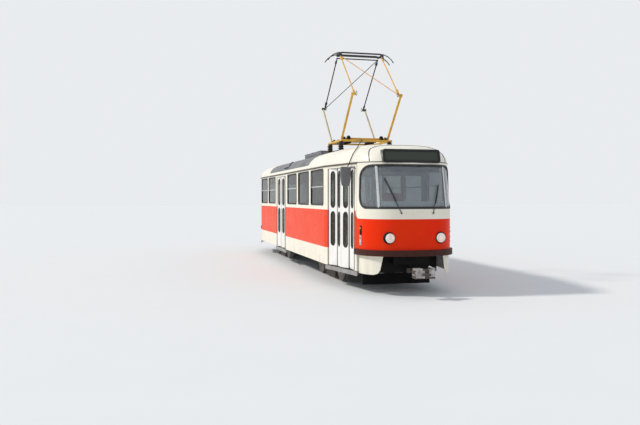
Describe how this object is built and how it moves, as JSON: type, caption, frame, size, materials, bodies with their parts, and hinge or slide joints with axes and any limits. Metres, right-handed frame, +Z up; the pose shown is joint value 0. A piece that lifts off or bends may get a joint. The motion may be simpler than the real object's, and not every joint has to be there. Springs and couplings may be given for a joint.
{
  "type": "four-axle street tram",
  "caption": "Single-ended street tram car with rounded ends, folding doors on its right side, two swivelling bogies, swinging couplers and a folding diamond pantograph.",
  "frame": {"origin": "floor point under the middle of the tram's length and width, at the bottom of the wheel flanges", "axes": "+X towards the tram's front, +Y to its left, +Z up; the doors are on its right, the -Y side"},
  "size_m": [15.104, 2.575, 5.597],
  "materials": {
    "body_paint": "gloss",
    "roof_paint": "satin",
    "bumper_paint": "satin",
    "window_glass": "gloss",
    "sign_glass": "gloss",
    "lamp_glass": "gloss",
    "tail_lamp_plastic": "gloss",
    "frame_steel": "matt",
    "motor_iron": "matt",
    "brake_iron": "matt",
    "wheel_steel": "worn",
    "step_aluminium": "ribbed",
    "pantograph_yellow": "satin",
    "pantograph_dark": "satin",
    "insulator_brown": "gloss",
    "seat_plastic": "satin",
    "cab_plastic": "satin",
    "pole_chrome": "polished",
    "mirror_plastic": "satin",
    "wiper_black": "matt",
    "door_paint": "gloss"
  },
  "bodies": {
    "carbody": {"side_wall_right": "body_paint", "side_wall_left": "body_paint", "front_end": "body_paint", "rear_end": "body_paint", "windscreen": "window_glass", "rear_screen": "window_glass", "side_glass": "window_glass", "roof": "roof_paint", "destination_sign": "sign_glass", "bumpers": "bumper_paint", "aprons": "body_paint", "underframe": "frame_steel", "door_steps": "step_aluminium", "pantograph_base": "pantograph_yellow", "pantograph_insulators": "insulator_brown", "passenger_seats": "seat_plastic", "driver_desk": "cab_plastic", "driver_seat": "seat_plastic", "cab_bulkhead": "cab_plastic", "grab_poles": "pole_chrome", "headlamps": "lamp_glass", "tail_lamps": "tail_lamp_plastic", "wing_mirror": "mirror_plastic", "wipers": "wiper_black", "roof_equipment": "roof_paint", "floor_equipment": "motor_iron", "front_guard": "frame_steel"},
    "bogie_front": {"bogie_frame_front": "frame_steel", "traction_motors_front": "motor_iron", "track_brakes_front": "brake_iron"},
    "wheelset_1": {"wheelset_1": "wheel_steel"},
    "wheelset_2": {"wheelset_2": "wheel_steel"},
    "coupler_front": {"coupler_front": "brake_iron"},
    "bogie_rear": {"bogie_frame_rear": "frame_steel", "traction_motors_rear": "motor_iron", "track_brakes_rear": "brake_iron"},
    "wheelset_3": {"wheelset_3": "wheel_steel"},
    "wheelset_4": {"wheelset_4": "wheel_steel"},
    "coupler_rear": {"coupler_rear": "brake_iron"},
    "door_front_rear_outer": {"door_front_rear_outer": "door_paint"},
    "door_front_rear_inner": {"door_front_rear_inner": "door_paint"},
    "door_front_front_outer": {"door_front_front_outer": "door_paint"},
    "door_front_front_inner": {"door_front_front_inner": "door_paint"},
    "door_middle_rear_outer": {"door_middle_rear_outer": "door_paint"},
    "door_middle_rear_inner": {"door_middle_rear_inner": "door_paint"},
    "door_middle_front_outer": {"door_middle_front_outer": "door_paint"},
    "door_middle_front_inner": {"door_middle_front_inner": "door_paint"},
    "door_rear_rear_outer": {"door_rear_rear_outer": "door_paint"},
    "door_rear_rear_inner": {"door_rear_rear_inner": "door_paint"},
    "door_rear_front_outer": {"door_rear_front_outer": "door_paint"},
    "door_rear_front_inner": {"door_rear_front_inner": "door_paint"},
    "pantograph_lower_front": {"pantograph_lower_front": "pantograph_yellow"},
    "pantograph_upper_front": {"pantograph_upper_front": "pantograph_dark"},
    "pantograph_lower_rear": {"pantograph_lower_rear": "pantograph_yellow"},
    "pantograph_upper_rear": {"pantograph_upper_rear": "pantograph_dark"},
    "collector_head": {"collector_head": "pantograph_dark"}
  },
  "joints": [
    {"name": "bogie_front_swivel", "type": "hinge", "parent": "carbody", "child": "bogie_front", "pos_m": [3.2, 0, 0.642], "axis": [0, 0, 1], "range_deg": [-9, 9]},
    {"name": "wheelset_1_spin", "type": "hinge", "parent": "bogie_front", "child": "wheelset_1", "pos_m": [4.15, 0, 0.372], "axis": [0, 1, 0], "continuous": true},
    {"name": "wheelset_2_spin", "type": "hinge", "parent": "bogie_front", "child": "wheelset_2", "pos_m": [2.25, 0, 0.372], "axis": [0, 1, 0], "continuous": true},
    {"name": "coupler_front_swing", "type": "hinge", "parent": "carbody", "child": "coupler_front", "pos_m": [6.62, 0, 0.492], "axis": [0, 0, 1], "range_deg": [-20, 20]},
    {"name": "bogie_rear_swivel", "type": "hinge", "parent": "carbody", "child": "bogie_rear", "pos_m": [-3.2, 0, 0.642], "axis": [0, 0, 1], "range_deg": [-9, 9]},
    {"name": "wheelset_3_spin", "type": "hinge", "parent": "bogie_rear", "child": "wheelset_3", "pos_m": [-2.25, 0, 0.372], "axis": [0, 1, 0], "continuous": true},
    {"name": "wheelset_4_spin", "type": "hinge", "parent": "bogie_rear", "child": "wheelset_4", "pos_m": [-4.15, 0, 0.372], "axis": [0, 1, 0], "continuous": true},
    {"name": "coupler_rear_swing", "type": "hinge", "parent": "carbody", "child": "coupler_rear", "pos_m": [-6.62, 0, 0.492], "axis": [0, 0, 1], "range_deg": [-20, 20]},
    {"name": "door_front_rear_outer_hinge", "type": "hinge", "parent": "carbody", "child": "door_front_rear_outer", "pos_m": [4.66891, -1.17892, 1.522], "axis": [0, 0, 1], "range_deg": [0, 76]},
    {"name": "door_front_rear_inner_hinge", "type": "hinge", "parent": "door_front_rear_outer", "child": "door_front_rear_inner", "pos_m": [4.97792, -1.10211, 1.522], "axis": [0, 0, 1], "range_deg": [-152, 0]},
    {"name": "door_front_front_outer_hinge", "type": "hinge", "parent": "carbody", "child": "door_front_front_outer", "pos_m": [5.98196, -0.9897, 1.522], "axis": [0, 0, -1], "range_deg": [0, 76]},
    {"name": "door_front_front_inner_hinge", "type": "hinge", "parent": "door_front_front_outer", "child": "door_front_front_inner", "pos_m": [5.66384, -1.00327, 1.522], "axis": [0, 0, -1], "range_deg": [-152, 0]},
    {"name": "door_middle_rear_outer_hinge", "type": "hinge", "parent": "carbody", "child": "door_middle_rear_outer", "pos_m": [-1.70331, -1.218, 1.522], "axis": [0, 0, 1], "range_deg": [0, 76]},
    {"name": "door_middle_rear_inner_hinge", "type": "hinge", "parent": "door_middle_rear_outer", "child": "door_middle_rear_inner", "pos_m": [-1.3865, -1.18605, 1.522], "axis": [0, 0, 1], "range_deg": [-152, 0]},
    {"name": "door_middle_front_outer_hinge", "type": "hinge", "parent": "carbody", "child": "door_middle_front_outer", "pos_m": [-0.37669, -1.218, 1.522], "axis": [0, 0, -1], "range_deg": [0, 76]},
    {"name": "door_middle_front_inner_hinge", "type": "hinge", "parent": "door_middle_front_outer", "child": "door_middle_front_inner", "pos_m": [-0.6935, -1.18605, 1.522], "axis": [0, 0, -1], "range_deg": [-152, 0]},
    {"name": "door_rear_rear_outer_hinge", "type": "hinge", "parent": "carbody", "child": "door_rear_rear_outer", "pos_m": [-6.34868, -0.97252, 1.522], "axis": [0, 0, 1], "range_deg": [0, 76]},
    {"name": "door_rear_rear_inner_hinge", "type": "hinge", "parent": "door_rear_rear_outer", "child": "door_rear_rear_inner", "pos_m": [-6.03098, -0.99385, 1.522], "axis": [0, 0, 1], "range_deg": [-152, 0]},
    {"name": "door_rear_front_outer_hinge", "type": "hinge", "parent": "carbody", "child": "door_rear_front_outer", "pos_m": [-5.04064, -1.19376, 1.522], "axis": [0, 0, -1], "range_deg": [0, 76]},
    {"name": "door_rear_front_inner_hinge", "type": "hinge", "parent": "door_rear_front_outer", "child": "door_rear_front_inner", "pos_m": [-5.34769, -1.10942, 1.522], "axis": [0, 0, -1], "range_deg": [-152, 0]},
    {"name": "pantograph_lower_front_hinge", "type": "hinge", "parent": "carbody", "child": "pantograph_lower_front", "pos_m": [3.53, 0, 3.422], "axis": [0, -1, 0], "range_deg": [-40, 8]},
    {"name": "pantograph_upper_front_hinge", "type": "hinge", "parent": "pantograph_lower_front", "child": "pantograph_upper_front", "pos_m": [4.46, 0, 4.372], "axis": [0, -1, 0], "range_deg": [-14.74, 71.7]},
    {"name": "pantograph_lower_rear_hinge", "type": "hinge", "parent": "carbody", "child": "pantograph_lower_rear", "pos_m": [2.57, 0, 3.422], "axis": [0, 1, 0], "range_deg": [-40, 8]},
    {"name": "pantograph_upper_rear_hinge", "type": "hinge", "parent": "pantograph_lower_rear", "child": "pantograph_upper_rear", "pos_m": [1.64, 0, 4.372], "axis": [0, 1, 0], "range_deg": [-14.74, 71.7]},
    {"name": "collector_head_hinge", "type": "hinge", "parent": "pantograph_upper_front", "child": "collector_head", "pos_m": [3.21, 0, 5.492], "axis": [0, -1, 0], "range_deg": [-31.7, 6.74]}
  ],
  "couplings": [
    {"joint": "door_front_rear_inner_hinge", "follows": "door_front_rear_outer_hinge", "ratio": -2},
    {"joint": "door_front_front_inner_hinge", "follows": "door_front_front_outer_hinge", "ratio": -2},
    {"joint": "door_middle_rear_inner_hinge", "follows": "door_middle_rear_outer_hinge", "ratio": -2},
    {"joint": "door_middle_front_inner_hinge", "follows": "door_middle_front_outer_hinge", "ratio": -2},
    {"joint": "door_rear_rear_inner_hinge", "follows": "door_rear_rear_outer_hinge", "ratio": -2},
    {"joint": "door_rear_front_inner_hinge", "follows": "door_rear_front_outer_hinge", "ratio": -2},
    {"joint": "pantograph_upper_front_hinge", "follows": "pantograph_lower_front_hinge", "ratio": -1.78},
    {"joint": "pantograph_upper_rear_hinge", "follows": "pantograph_lower_front_hinge", "ratio": -1.78},
    {"joint": "pantograph_lower_rear_hinge", "follows": "pantograph_lower_front_hinge", "ratio": 1},
    {"joint": "collector_head_hinge", "follows": "pantograph_lower_front_hinge", "ratio": 0.78}
  ]
}
